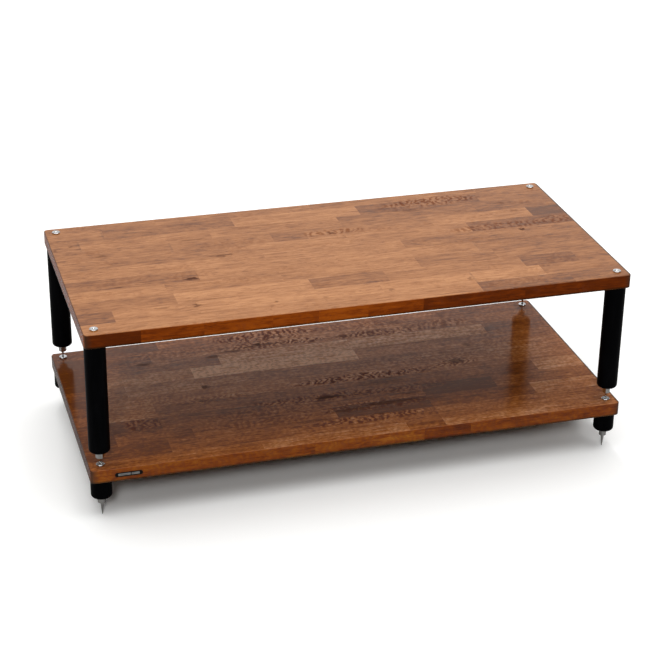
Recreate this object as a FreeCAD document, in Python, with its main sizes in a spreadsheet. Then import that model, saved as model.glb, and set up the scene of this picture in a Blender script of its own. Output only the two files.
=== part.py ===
import FreeCAD, Part
import Sketcher
import math
import os
import re

from FreeCAD import Vector

# Media shelf unit: two equal boards of glued oak, one level standing on the other.
# The frame: +Z up, +X along the boards' width, -Y towards the front, the origin on the floor
# in the middle between the tips of the four floor spikes. All lengths are in millimetres.
#
# Every level is carried at its four corners. From a board's top down, each corner holds a spike cup
# whose stud goes through the board, a threaded plug in the tube's upper end, the tube, a domed end cap
# in its lower end, a tall hex lock nut and a spike. The column's spike stands in the cup of the level
# below, and the foot's spike stands on the floor.

SIZES = {
    # boards
    "board_width": 1000,
    "board_depth": 470,
    "board_thickness": 26,
    "board_corner_radius": 8,
    "board_arris_radius": 2,
    "column_inset": 21,
    # tubes of the columns and feet
    "tube_diameter": 38,
    "tube_wall": 2,
    "column_tube_length": 202,
    "foot_tube_length": 30,
    # free heights under the end caps
    "floor_gap": 36.2,
    "column_gap": 27.2,
    # threaded plug in a tube's upper end
    "plug_length": 12,
    "plug_fit": 0.05,
    # domed cap in a tube's lower end
    "cap_height": 7.8,
    "cap_shoulder_radius": 5,
    "cap_slope": 15,
    "cap_seat_diameter": 16,
    "cap_seam_chamfer": 0.4,
    "cap_spigot_length": 11,
    "cap_bore_floor": 2,
    # threads, as plain rods and bores
    "stud_diameter": 8,
    "stud_fit": 0.05,
    "board_hole_fit": 0.25,
    # spike cups
    "cup_diameter": 15,
    "cup_height": 2.5,
    "cup_edge_chamfer": 0.5,
    "cup_dimple_diameter": 6,
    "cup_dimple_depth": 1.6,
    "cup_stud_reach": 10,
    # tall lock nuts
    "nut_across_flats": 13,
    "nut_height": 12,
    "nut_chamfer_angle": 30,
    "nut_face_inset": 0.3,
    "nut_gap": 0.05,
    # spikes
    "spike_tip_diameter": 1.6,
    "column_spike_root_diameter": 5,
    "column_spike_travel": 6,
    "foot_spike_root_diameter": 6.6,
    "spike_stop_gap": 0.3,
    "spike_seat_gap": 0.1,
    # plate on the lower board's front edge
    "plate_width": 49,
    "plate_height": 8.5,
    "plate_thickness": 0.8,
    "plate_corner_radius": 1.5,
    "plate_side_distance": 43,
    # how far a cutting profile runs past what it cuts
    "overrun": 1,
}

# Heights that follow from the sizes, from the floor up.
FOOT_CAP_BOTTOM = "floor_gap"
FOOT_TUBE_BOTTOM = f"({FOOT_CAP_BOTTOM} + cap_height)"
LOWER_BOARD_BOTTOM = f"({FOOT_TUBE_BOTTOM} + foot_tube_length)"
LOWER_BOARD_TOP = f"({LOWER_BOARD_BOTTOM} + board_thickness)"
COLUMN_CAP_BOTTOM = f"({LOWER_BOARD_TOP} + column_gap)"
COLUMN_TUBE_BOTTOM = f"({COLUMN_CAP_BOTTOM} + cap_height)"
TOP_BOARD_BOTTOM = f"({COLUMN_TUBE_BOTTOM} + column_tube_length)"
TOP_BOARD_TOP = f"({TOP_BOARD_BOTTOM} + board_thickness)"

# Radii and lengths that follow from the sizes.
TUBE_RADIUS = "(tube_diameter / 2)"
BORE_RADIUS = f"({TUBE_RADIUS} - tube_wall)"
INSERT_RADIUS = f"({BORE_RADIUS} - plug_fit)"
STUD_RADIUS = "(stud_diameter / 2)"
THREAD_RADIUS = f"({STUD_RADIUS} + stud_fit)"
SEAT_RADIUS = "(cap_seat_diameter / 2)"
CAP_BORE_DEPTH = "(cap_height + cap_spigot_length - cap_bore_floor)"
CUP_FLOOR = "(cup_height - cup_dimple_depth)"
COLUMN_TIP = f"({LOWER_BOARD_TOP} + {CUP_FLOOR} + spike_seat_gap)"
NUT_CORNER_RADIUS = "(nut_across_flats / 2 / cos(30))"

CORNERS = {
    "front_left": (-1, -1),
    "front_right": (1, -1),
    "rear_left": (-1, 1),
    "rear_right": (1, 1),
}

doc = FreeCAD.newDocument("media_shelf_unit")
sheet = doc.addObject("Spreadsheet::Sheet", "Sizes")
for row, (alias, number) in enumerate(SIZES.items(), start=1):
    sheet.set(f"A{row}", alias)
    sheet.set(f"B{row}", str(number))
    sheet.setAlias(f"B{row}", alias)
doc.recompute()

parts = []


def bound(text):
    """A formula in the names of the sizes, as an expression that reads the sheet."""
    return re.sub(r"[a-z_]\w*", lambda m: f"Sizes.{m[0]}" if m[0] in SIZES else m[0], str(text))


def value(text):
    """What a formula comes to with the sheet's numbers."""
    return float(sheet.evalExpression(bound(text)))


def same(a, b):
    """Whether two lengths are equal, to a millionth of the board's width."""
    return abs(a - b) < value("board_width") / 1e6


def new_body(name, x, y, z):
    """An empty body with its label, placed by three formulas."""
    body = doc.addObject("PartDesign::Body", name)
    body.Label = name
    for axis, formula in (("x", x), ("y", y), ("z", z)):
        body.setExpression(f"Placement.Base.{axis}", bound(formula))
    parts.append(body)
    return body


def new_sketch(body, name, plane):
    """A sketch on one of the body's own origin planes."""
    sketch = body.newObject("Sketcher::SketchObject", name)
    support = next(f for f in body.Origin.OriginFeatures if f.Role == plane)
    sketch.AttachmentSupport = [(support, "")]
    sketch.MapMode = "FlatFace"
    return sketch


def bind(sketch, kind, *where_and_formula):
    """A named constraint of the sketch, driven by a formula."""
    *where, formula = where_and_formula
    index = sketch.addConstraint(Sketcher.Constraint(kind, *where, value(formula)))
    name = f"c{index}"
    sketch.renameConstraint(index, name)
    sketch.setExpression(f"Constraints.{name}", bound(formula))


def join(sketch, kind, *where):
    """A constraint with no size."""
    sketch.addConstraint(Sketcher.Constraint(kind, *where))


def rounding(corner, before, after, radius):
    """The arc that rounds a convex corner of an outline that runs counter-clockwise."""
    back, ahead = (before - corner).normalize(), (after - corner).normalize()
    half = back.getAngle(ahead) / 2
    reach = radius / math.tan(half)
    inward = (back + ahead).normalize()
    middle = corner + inward * (radius / math.sin(half) - radius)
    return Part.Arc(corner + back * reach, middle, corner + ahead * reach)


def outline(body, name, plane, corners):
    """A closed outline that runs counter-clockwise through corners, each given by two formulas, and
    by a third for its radius where it is rounded."""
    sketch = new_sketch(body, name, plane)
    points = [Vector(value(a), value(b), 0) for a, b, *_ in corners]
    count = len(points)
    arcs = {
        i: rounding(points[i], points[i - 1], points[(i + 1) % count], value(radius))
        for i, (_, _, *radii) in enumerate(corners) for radius in radii
    }
    for i in range(count):
        after = (i + 1) % count
        start = arcs[i].EndPoint if i in arcs else points[i]
        end = arcs[after].StartPoint if after in arcs else points[after]
        sketch.addGeometry(Part.LineSegment(start, end), False)
    # A sharp corner is placed by its line's start, and a rounded one by a construction point where
    # its two lines would meet.
    places = {}
    for i in range(count):
        if i not in arcs:
            join(sketch, "Coincident", (i - 1) % count, 2, i, 1)
            places[i] = i
            continue
        arc = sketch.addGeometry(arcs[i], False)
        join(sketch, "Tangent", i - 1, 2, arc, 1)
        join(sketch, "Tangent", arc, 2, i, 1)
        bind(sketch, "Radius", arc, corners[i][2])
        places[i] = sketch.addGeometry(Part.Point(points[i]), True)
        join(sketch, "PointOnObject", places[i], 1, i - 1)
        join(sketch, "PointOnObject", places[i], 1, i)
    for i, (a, b, *_) in enumerate(corners):
        for kind, formula, axis in (("DistanceX", a, -2), ("DistanceY", b, -1)):
            if formula == "0":
                join(sketch, "PointOnObject", places[i], 1, axis)
            else:
                bind(sketch, kind, -1, 1, places[i], 1, formula)
    return sketch


def turned(body, name, corners):
    """A solid of revolution about the body's Z axis, from its outline in radii and heights."""
    sketch = outline(body, f"{name}_outline", "XZ_Plane", corners)
    feature = body.newObject("PartDesign::Revolution", name)
    feature.Profile = sketch
    feature.ReferenceAxis = (sketch, ["V_Axis"])
    feature.Angle = 360
    sketch.Visibility = False
    return feature


def pad(body, name, sketch, length):
    """A straight extrusion of a sketch."""
    feature = body.newObject("PartDesign::Pad", name)
    feature.Profile = sketch
    feature.setExpression("Length", bound(length))
    return feature


def cut_through(body, name, sketch):
    """A pocket of the sketch through the whole body, both ways, which has to take material away."""
    doc.recompute()
    before = body.Shape.Volume
    feature = body.newObject("PartDesign::Pocket", name)
    feature.Profile = sketch
    feature.Type = "ThroughAll"
    feature.Midplane = True
    doc.recompute()
    if not body.Shape.Volume < before:
        raise RuntimeError(f"{body.Label}: {name} cuts nothing")
    return feature


def fillet(body, name, edges, radius):
    """A fillet of the edges of the body so far that a test picks."""
    doc.recompute()
    base = body.Tip
    picked = [f"Edge{i}" for i, edge in enumerate(base.Shape.Edges, start=1) if edges(edge)]
    if not picked:
        raise RuntimeError(f"{body.Label}: {name} finds no edge")
    feature = body.newObject("PartDesign::Fillet", name)
    feature.Base = (base, picked)
    feature.setExpression("Radius", bound(radius))
    return feature


def rounded_rectangle(body, name, plane, width, height, radius):
    """A rectangle about the origin with its four corners rounded."""
    sketch = new_sketch(body, name, plane)
    half_w, half_h, r = value(f"{width} / 2"), value(f"{height} / 2"), value(radius)
    inner_w, inner_h = half_w - r, half_h - r
    sides = [
        (Vector(-inner_w, -half_h, 0), Vector(inner_w, -half_h, 0)),
        (Vector(half_w, -inner_h, 0), Vector(half_w, inner_h, 0)),
        (Vector(inner_w, half_h, 0), Vector(-inner_w, half_h, 0)),
        (Vector(-half_w, inner_h, 0), Vector(-half_w, -inner_h, 0)),
    ]
    centres = [(inner_w, -inner_h), (inner_w, inner_h), (-inner_w, inner_h), (-inner_w, -inner_h)]
    for start, end in sides:
        sketch.addGeometry(Part.LineSegment(start, end), False)
    quarter = FreeCAD.Units.Quantity("90 deg").getValueAs("rad").Value
    for i, (x, y) in enumerate(centres):
        circle = Part.Circle(Vector(x, y, 0), Vector(0, 0, 1), r)
        sketch.addGeometry(Part.ArcOfCircle(circle, (i - 1) * quarter, i * quarter), False)
    for i in range(4):
        arc = 4 + i
        join(sketch, "Tangent", i, 2, arc, 1)
        join(sketch, "Tangent", arc, 2, (i + 1) % 4, 1)
        join(sketch, "Horizontal" if i % 2 == 0 else "Vertical", i)
    for arc in (5, 6, 7):
        join(sketch, "Equal", 4, arc)
    join(sketch, "Symmetric", 4, 3, 6, 3, -1, 1)
    bind(sketch, "Radius", 4, radius)
    bind(sketch, "DistanceX", 3, 1, 1, 1, width)
    bind(sketch, "DistanceY", 0, 1, 2, 1, height)
    return sketch


def board(name, bottom):
    """A board with rounded corners and arrises, and a hole for a stud over each corner's tube."""
    body = new_body(name, "0", "0", bottom)
    shape = rounded_rectangle(
        body, f"{name}_shape", "XY_Plane", "board_width", "board_depth", "board_corner_radius"
    )
    pad(body, f"{name}_pad", shape, "board_thickness")
    levels = (0, value("board_thickness"))

    def arris(edge):
        box = edge.BoundBox
        return same(box.ZMin, box.ZMax) and any(same(box.ZMin, level) for level in levels)

    fillet(body, f"{name}_arris", arris, "board_arris_radius")
    doc.recompute()
    holes = new_sketch(body, f"{name}_holes", "XY_Plane")
    radius = f"{STUD_RADIUS} + board_hole_fit"
    across, deep = "board_width / 2 - column_inset", "board_depth / 2 - column_inset"
    for i, (sx, sy) in enumerate(CORNERS.values()):
        centre = Vector(sx * value(across), sy * value(deep), 0)
        holes.addGeometry(Part.Circle(centre, Vector(0, 0, 1), value(radius)), False)
        bind(holes, "Radius", i, radius)
        bind(holes, "DistanceX", -1, 1, i, 3, f"{sx} * ({across})")
        bind(holes, "DistanceY", -1, 1, i, 3, f"{sy} * ({deep})")
    cut_through(body, f"{name}_stud_holes", holes)


def sleeve(name, x, y, bottom, length, outer_radius, inner_radius):
    """A straight length of round tube, or the threaded plug in its upper end."""
    body = new_body(name, x, y, bottom)
    ring = new_sketch(body, f"{name}_ring", "XY_Plane")
    for i, radius in enumerate((outer_radius, inner_radius)):
        ring.addGeometry(Part.Circle(Vector(0, 0, 0), Vector(0, 0, 1), value(radius)), False)
        join(ring, "Coincident", i, 3, -1, 1)
        bind(ring, "Radius", i, radius)
    pad(body, f"{name}_pad", ring, length)


def end_cap(name, x, y, tube_bottom):
    """The domed cap: a spigot inside the tube, a rounded shoulder, a shallow cone down to the nut's
    seat, and a blind threaded bore. Its local zero is the tube's lower end."""
    body = new_body(name, x, y, tube_bottom)
    cone_rise = f"({TUBE_RADIUS} - {SEAT_RADIUS}) * tan(cap_slope)"
    shoulder = f"-cap_height + {cone_rise}"
    bore_top = f"{CAP_BORE_DEPTH} - cap_height"
    turned(body, f"{name}_turning", [
        (THREAD_RADIUS, "-cap_height"),
        (SEAT_RADIUS, "-cap_height"),
        (TUBE_RADIUS, shoulder, "cap_shoulder_radius"),
        (TUBE_RADIUS, "-cap_seam_chamfer"),
        (f"{TUBE_RADIUS} - cap_seam_chamfer", "0"),
        (INSERT_RADIUS, "0"),
        (INSERT_RADIUS, "cap_spigot_length"),
        ("0", "cap_spigot_length"),
        ("0", bore_top),
        (THREAD_RADIUS, bore_top),
    ])


def lock_nut(name, x, y, bottom):
    """A tall hex nut with its corners chamfered at both ends."""
    body = new_body(name, x, y, bottom)
    hexagon = outline(body, f"{name}_hexagon", "XY_Plane", [
        (f"{NUT_CORNER_RADIUS} * cos({60 * i})", f"{NUT_CORNER_RADIUS} * sin({60 * i})")
        for i in range(6)
    ])
    pad(body, f"{name}_pad", hexagon, "nut_height")
    bore = new_sketch(body, f"{name}_bore_ring", "XY_Plane")
    bore.addGeometry(Part.Circle(Vector(0, 0, 0), Vector(0, 0, 1), value(THREAD_RADIUS)), False)
    join(bore, "Coincident", 0, 3, -1, 1)
    bind(bore, "Radius", 0, THREAD_RADIUS)
    cut_through(body, f"{name}_bore", bore)
    face_radius = "nut_across_flats / 2 - nut_face_inset"
    outside = f"{NUT_CORNER_RADIUS} + overrun"
    drop = f"({outside} - ({face_radius})) * tan(nut_chamfer_angle)"
    ends = {
        "lower": [(face_radius, "0"), (outside, "0"), (outside, drop)],
        "upper": [
            (face_radius, "nut_height"),
            (outside, f"nut_height - {drop}"),
            (outside, "nut_height"),
        ],
    }
    for end, corners in ends.items():
        doc.recompute()
        before = body.Shape.Volume
        profile = outline(body, f"{name}_{end}_corner_outline", "XZ_Plane", corners)
        groove = body.newObject("PartDesign::Groove", f"{name}_{end}_corners")
        groove.Profile = profile
        groove.ReferenceAxis = (profile, ["V_Axis"])
        groove.Angle = 360
        doc.recompute()
        if not body.Shape.Volume < before:
            raise RuntimeError(f"{name}: the groove at the {end} end cuts nothing")


def spike(name, x, y, tip, cone_length, root_diameter, stud_length):
    """A turned spike: a threaded stud and a slender cone down to a blunt tip at its local zero."""
    body = new_body(name, x, y, tip)
    turned(body, f"{name}_turning", [
        ("0", "0"),
        ("spike_tip_diameter / 2", "0"),
        (f"{root_diameter} / 2", cone_length),
        (STUD_RADIUS, cone_length),
        (STUD_RADIUS, f"{cone_length} + {stud_length}"),
        ("0", f"{cone_length} + {stud_length}"),
    ])


def spike_cup(name, x, y, board_top):
    """A spike cup: a chamfered disc on the board with a conical dimple, and its stud downwards."""
    body = new_body(name, x, y, board_top)
    radius, stud_end = "cup_diameter / 2", "-(board_thickness + cup_stud_reach)"
    turned(body, f"{name}_turning", [
        ("0", stud_end),
        (STUD_RADIUS, stud_end),
        (STUD_RADIUS, "0"),
        (radius, "0"),
        (radius, "cup_height - cup_edge_chamfer"),
        (f"{radius} - cup_edge_chamfer", "cup_height"),
        ("cup_dimple_diameter / 2", "cup_height"),
        ("spike_tip_diameter / 2", CUP_FLOOR),
        ("0", CUP_FLOOR),
    ])


def plate(name):
    """The bare plate on the lower board's front edge."""
    body = new_body(
        name,
        "-board_width / 2 + plate_side_distance + plate_width / 2",
        "-board_depth / 2",
        f"{LOWER_BOARD_BOTTOM} + board_thickness / 2",
    )
    shape = rounded_rectangle(
        body, f"{name}_shape", "XZ_Plane", "plate_width", "plate_height", "plate_corner_radius"
    )
    pad(body, f"{name}_pad", shape, "plate_thickness")


def corner(label, sx, sy):
    """The twelve pieces of one corner, from the floor up."""
    x = f"{sx} * (board_width / 2 - column_inset)"
    y = f"{sy} * (board_depth / 2 - column_inset)"
    tube_radii, plug_radii = (TUBE_RADIUS, BORE_RADIUS), (INSERT_RADIUS, THREAD_RADIUS)
    stud_in_cap = f"{CAP_BORE_DEPTH} + nut_height + nut_gap - spike_stop_gap"

    spike(f"foot_spike_{label}", x, y, "0", f"({FOOT_CAP_BOTTOM} - nut_height - nut_gap)",
          "foot_spike_root_diameter", f"({stud_in_cap})")
    lock_nut(f"foot_nut_{label}", x, y, f"{FOOT_CAP_BOTTOM} - nut_gap - nut_height")
    end_cap(f"foot_cap_{label}", x, y, FOOT_TUBE_BOTTOM)
    sleeve(f"foot_tube_{label}", x, y, FOOT_TUBE_BOTTOM, "foot_tube_length", *tube_radii)
    sleeve(f"foot_plug_{label}", x, y, f"{LOWER_BOARD_BOTTOM} - plug_length", "plug_length",
           *plug_radii)
    spike_cup(f"lower_cup_{label}", x, y, LOWER_BOARD_TOP)

    spike(f"column_spike_{label}", x, y, COLUMN_TIP,
          f"({COLUMN_CAP_BOTTOM} - nut_height - nut_gap - {COLUMN_TIP})",
          "column_spike_root_diameter", f"({stud_in_cap} - column_spike_travel)")
    lock_nut(f"column_nut_{label}", x, y, f"{COLUMN_CAP_BOTTOM} - nut_gap - nut_height")
    end_cap(f"column_cap_{label}", x, y, COLUMN_TUBE_BOTTOM)
    sleeve(f"column_tube_{label}", x, y, COLUMN_TUBE_BOTTOM, "column_tube_length", *tube_radii)
    sleeve(f"column_plug_{label}", x, y, f"{TOP_BOARD_BOTTOM} - plug_length", "plug_length",
           *plug_radii)
    spike_cup(f"top_cup_{label}", x, y, TOP_BOARD_TOP)


board("lower_shelf", LOWER_BOARD_BOTTOM)
board("top_shelf", TOP_BOARD_BOTTOM)
plate("front_plate")
for corner_label, (side_x, side_y) in CORNERS.items():
    corner(corner_label, side_x, side_y)

doc.recompute()
for item in doc.Objects:
    if "Invalid" in item.State or "Error" in item.State:
        raise RuntimeError(f"{item.Label} did not build: {item.State}")
for sketch in doc.findObjects("Sketcher::SketchObject"):
    if not sketch.FullyConstrained:
        raise RuntimeError(f"{sketch.Label} is not fully constrained")
for piece in parts:
    shape = piece.Shape
    if shape.isNull() or not shape.isValid() or len(shape.Solids) != 1:
        raise RuntimeError(f"{piece.Label} is not one valid solid")

os.makedirs("parts", exist_ok=True)
for piece in parts:
    piece.Shape.exportStep(f"parts/{piece.Label}.step")
print(f"{len(parts)} parts written")
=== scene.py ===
import math

import bmesh
import bpy
from mathutils import Matrix, Vector

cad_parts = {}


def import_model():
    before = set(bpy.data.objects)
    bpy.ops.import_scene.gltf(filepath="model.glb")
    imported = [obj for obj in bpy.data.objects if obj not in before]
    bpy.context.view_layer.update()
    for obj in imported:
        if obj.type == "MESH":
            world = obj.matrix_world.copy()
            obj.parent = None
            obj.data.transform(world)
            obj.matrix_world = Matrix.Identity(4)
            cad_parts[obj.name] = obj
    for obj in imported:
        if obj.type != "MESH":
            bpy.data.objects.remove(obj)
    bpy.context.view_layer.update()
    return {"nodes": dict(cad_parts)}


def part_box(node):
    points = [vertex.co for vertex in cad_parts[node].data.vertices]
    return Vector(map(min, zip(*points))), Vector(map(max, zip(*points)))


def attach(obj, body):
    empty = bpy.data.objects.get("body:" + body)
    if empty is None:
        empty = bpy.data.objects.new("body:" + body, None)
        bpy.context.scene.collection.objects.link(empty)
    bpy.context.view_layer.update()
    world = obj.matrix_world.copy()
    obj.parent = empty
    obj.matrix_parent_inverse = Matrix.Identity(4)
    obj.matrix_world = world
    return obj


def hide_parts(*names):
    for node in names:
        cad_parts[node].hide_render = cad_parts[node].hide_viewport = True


# Media shelf unit: the finishes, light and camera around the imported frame. Lengths are in metres, in
# the frame's own axes: +X along the boards, -Y to the front, +Z up from the floor. The patterns in
# the wood are laid out in mm from a board's left end, back edge and underside. A constant for a ramp
# holds where it starts and ends, and may go on with what it goes from and to.

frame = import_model()

MM = 0.001
NOISE_MEAN = 0.5

# Nodes and objects


class Nodes:
    """Short calls that add nodes to a material's or the world's tree."""

    def __init__(self, tree):
        self.tree = tree
        tree.nodes.clear()

    def add(self, kind, inputs=None, **settings):
        """A node with its settings, and its inputs from values or from other nodes' sockets."""
        node = self.tree.nodes.new(kind)
        for name, value in settings.items():
            setattr(node, name, value)
        for name, value in (inputs or {}).items():
            socket = node.inputs[name]
            if isinstance(value, bpy.types.NodeSocket):
                self.tree.links.new(value, socket)
            else:
                socket.default_value = (*value, 1.0) if socket.type == "RGBA" else value
        return node

    def math(self, operation, *values):
        return self.add("ShaderNodeMath", dict(enumerate(values)), operation=operation).outputs[0]

    def vector(self, operation, *values, scale=None):
        inputs = dict(enumerate(values))
        if scale is not None:
            inputs["Scale"] = scale
        node = self.add("ShaderNodeVectorMath", inputs, operation=operation)
        return node.outputs["Value" if operation == "LENGTH" else "Vector"]

    def combine(self, x, y, z):
        return self.add("ShaderNodeCombineXYZ", {"X": x, "Y": y, "Z": z}).outputs[0]

    def separate(self, vector):
        return self.add("ShaderNodeSeparateXYZ", {0: vector}).outputs

    def stretched(self, vector, x, y, z):
        """The vector with its axes scaled."""
        return self.vector("MULTIPLY", vector, (x, y, z))

    def noise(self, vector, scale=1.0, detail=2.0, roughness=0.5, distortion=0.0, output="Fac"):
        node = self.add("ShaderNodeTexNoise", {
            "Vector": vector, "Scale": scale, "Detail": detail, "Roughness": roughness,
            "Distortion": distortion,
        })
        return node.outputs[output]

    def ramp(self, value, low, high, to_low=0.0, to_high=1.0, smooth=False):
        """The value mapped from low..high to to_low..to_high, and held at both ends."""
        node = self.add("ShaderNodeMapRange", {
            "Value": value, "From Min": low, "From Max": high, "To Min": to_low, "To Max": to_high,
        }, interpolation_type="SMOOTHSTEP" if smooth else "LINEAR")
        return node.outputs["Result"]

    def mix(self, factor, a, b, blend="MIX"):
        """A colour between a and b, or a blended with b."""
        inputs = {0: factor, 6: a, 7: b}
        return self.add("ShaderNodeMix", inputs, data_type="RGBA", blend_type=blend).outputs[2]

    def colours(self, value, stops, interpolation="LINEAR"):
        """A colour ramp over stops of (position, colour)."""
        node = self.add("ShaderNodeValToRGB", {"Fac": value})
        ramp = node.color_ramp
        ramp.interpolation = interpolation
        while len(ramp.elements) > 1:
            ramp.elements.remove(ramp.elements[-1])
        for i, (position, colour) in enumerate(stops):
            element = ramp.elements[0] if i == 0 else ramp.elements.new(position)
            element.position = position
            element.color = (*colour, 1.0)
        return node.outputs["Color"]

    def bump(self, height, distance, strength):
        inputs = {"Height": height, "Distance": distance, "Strength": strength}
        return self.add("ShaderNodeBump", inputs).outputs["Normal"]


def blank_material(name):
    """A material and its empty tree."""
    material = bpy.data.materials.new(name)
    material.use_nodes = True
    return material, Nodes(material.node_tree)


def new_material(name):
    """A material, its nodes, and the place and normal of each shaded point in the frame's axes."""
    material, nodes = blank_material(name)
    coordinates = nodes.add("ShaderNodeTexCoord").outputs
    return material, nodes, coordinates["Object"], coordinates["Normal"]


def finish(nodes, **inputs):
    """The Principled shader and the material's output. Underscores in input names are spaces."""
    shader = nodes.add("ShaderNodeBsdfPrincipled", {
        name.replace("_", " "): value for name, value in inputs.items()
    })
    nodes.add("ShaderNodeOutputMaterial", {"Surface": shader.outputs[0]})


def placed(name, data):
    """A new object in the scene."""
    item = bpy.data.objects.new(name, data)
    bpy.context.scene.collection.objects.link(item)
    return item


# Oak boards: what lies where on each of them

# Tones of the staves, from dark to light.
UMBER, DARK, DUSK, MID, WARM, FAWN, LIGHT, PALE = 0.08, 0.34, 0.45, 0.55, 0.64, 0.69, 0.74, 0.84

ROW_LENGTH = 1000
ROW_PITCH = 44.2
JOINT_WIDTH = 0.5

# Each row of staves from the back to the front, and then the front face: where each stave ends, from
# the left end, and its tone.
TOP_ROWS = (
    ((210, MID), (520, MID), (860, MID), (1000, MID)),
    ((102, MID), (353, DUSK), (605, LIGHT), (853, DARK), (1000, DUSK)),
    ((51, MID), (299, WARM), (554, WARM), (830, DUSK), (1000, DUSK)),
    ((215, MID), (410, MID), (474, DUSK), (726, MID), (929, FAWN), (1000, UMBER)),
    ((318, MID), (545, FAWN), (789, WARM), (1000, 0.30)),
    ((375, FAWN), (640, FAWN), (880, MID), (1000, MID)),
    ((235, DUSK), (500, FAWN), (770, FAWN), (1000, DUSK)),
    ((170, FAWN), (382, WARM), (640, FAWN), (790, MID), (1000, MID)),
    ((178, MID), (423, PALE), (566, DUSK), (828, WARM), (931, DARK), (1000, 0.50)),
    ((60, DARK), (210, LIGHT), (540, PALE), (715, PALE), (850, PALE), (1000, MID)),
    ((330, LIGHT), (712, LIGHT), (890, DARK), (1000, 0.36)),
)
# The dark tones at both ends of the top's front face are painted shade.
TOP_FRONT_FACE = (
    (95, UMBER), (205, DUSK), (325, MID), (410, MID), (500, WARM), (600, DUSK), (790, 0.22),
    (1000, 0.16),
)
# The dark staves at the left end of rows 1 to 8, to about 60 mm, are partly the wood's own tone and
# partly a painted dark reflection of the rear-left column.
LOWER_ROWS = (
    ((205, 0.12), (560, 0.38), (780, 0.38), (1000, 0.32)),
    ((62, 0.00), (180, 0.27), (420, DUSK), (700, 0.53), (1000, 0.40)),
    ((62, 0.00), (310, 0.40), (575, PALE), (860, 0.78), (1000, 0.28)),
    ((62, 0.00), (250, 0.66), (575, 1.00), (828, 0.50), (1000, 0.42)),
    ((62, 0.16), (110, 0.50), (260, 0.66), (575, 0.50), (830, 0.50), (1000, MID)),
    ((62, 0.22), (152, MID), (420, MID), (700, 0.50), (1000, 0.53)),
    ((62, 0.24), (150, WARM), (390, 0.42), (655, DARK), (900, DARK), (1000, 0.70)),
    ((60, 0.14), (152, 0.20), (350, 0.31), (655, 0.37), (800, 0.04), (1000, 0.40)),
    ((60, 0.14), (200, 0.32), (470, 0.42), (655, UMBER), (860, 0.28), (1000, WARM)),
    ((150, 0.18), (445, 0.40), (655, DUSK), (1000, DUSK)),
    ((310, DUSK), (585, WARM), (655, DARK), (853, WARM), (1000, MID)),
)
LOWER_FRONT_FACE = (
    (190, WARM), (405, MID), (610, WARM), (700, DARK), (853, MID), (1000, DUSK),
)

# Knots and dark streaks, and where the figure is wavy, as soft ellipses: the middle from the left end
# and from the back edge, half length, half width, strength.
TOP_KNOTS = (
    (39, 92, 4, 3, 0.7), (8, 104, 4, 4, 0.6), (83, 150, 13, 4, 0.5), (834, 41, 5, 4, 0.6),
    (891, 85, 8, 4, 0.6), (885, 222, 7, 6, 1.0), (223, 287, 9, 6, 1.0), (92, 292, 9, 3, 0.6),
    (210, 398, 7, 6, 0.7), (150, 393, 12, 2.5, 0.5), (347, 419, 5, 3, 0.6), (435, 422, 6, 2.5, 0.4),
    (557, 422, 7, 4, 0.5), (708, 410, 3, 7, 0.5), (521, 150, 7, 5, 0.6), (388, 304, 10, 2.5, 0.4),
    (300, 199, 22, 4, 0.6), (828, 140, 4, 3, 0.3), (262, 116, 30, 2.5, 0.5), (240, 380, 60, 2, 0.4),
    (420, 80, 50, 2, 0.4), (740, 252, 120, 1.5, 0.35), (560, 293, 70, 1.5, 0.3),
    (700, 79, 40, 3, 0.4), (300, 206, 10, 3, 0.6), (905, 130, 8, 4, 0.5), (150, 60, 60, 2, 0.3),
)
TOP_WAVES = (
    (760, 44, 95, 18, 1.0), (705, 60, 60, 18, 0.5), (530, 145, 60, 11, 0.9),
    (860, 195, 110, 14, 0.8), (965, 190, 40, 18, 0.8), (620, 153, 50, 6, 0.5),
    (100, 270, 70, 18, 0.25), (215, 275, 30, 16, 0.35), (900, 370, 40, 14, 0.4),
    (780, 445, 70, 12, 0.4), (300, 315, 60, 10, 0.3), (330, 150, 60, 18, 0.3),
)
LOWER_KNOTS = (
    (401, 63, 10, 5, 1.0), (380, 68, 14, 3, 0.8), (345, 78, 20, 3, 0.7), (306, 92, 18, 4, 0.7),
    (165, 91, 16, 5, 0.8), (262, 212, 7, 7, 0.9), (477, 309, 28, 4.5, 1.0), (757, 228, 18, 8, 0.6),
    (805, 167, 6, 7, 0.6), (583, 70, 8, 5, 0.7), (733, 74, 6, 5, 0.7), (763, 79, 5, 4, 0.6),
    (242, 265, 9, 5, 0.6), (430, 64, 22, 3, 0.6), (690, 30, 14, 3, 0.4), (797, 27, 4, 16, 0.4),
    (700, 133, 120, 1.5, 0.5), (593, 277, 50, 12, 0.35), (560, 70, 20, 3, 0.5),
    (610, 262, 14, 3, 0.5), (860, 232, 16, 5, 0.4), (585, 357, 60, 6, 0.7), (500, 366, 40, 5, 0.6),
    (560, 395, 30, 3, 0.4), (430, 390, 24, 3, 0.4), (152, 330, 3, 16, 0.5), (550, 214, 30, 2, 0.3),
    (630, 330, 30, 3, 0.5),
)
LOWER_WAVES = (
    (425, 28, 100, 20, 1.0), (620, 30, 110, 18, 0.5), (497, 66, 40, 11, 1.0),
    (650, 70, 90, 13, 0.9), (395, 66, 70, 14, 0.8), (780, 62, 70, 16, 0.6),
    (567, 246, 145, 13, 1.0), (757, 232, 40, 16, 0.8), (260, 262, 80, 12, 0.6),
    (120, 325, 36, 20, 1.0), (470, 308, 150, 13, 0.9), (640, 310, 70, 14, 0.7),
    (557, 361, 100, 16, 1.0), (527, 407, 120, 13, 0.9), (340, 372, 110, 14, 0.5),
    (170, 240, 60, 20, 0.4), (250, 60, 120, 20, 0.4), (860, 150, 60, 40, 0.4),
    (350, 335, 120, 18, 0.5), (680, 200, 150, 20, 0.4),
)
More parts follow.
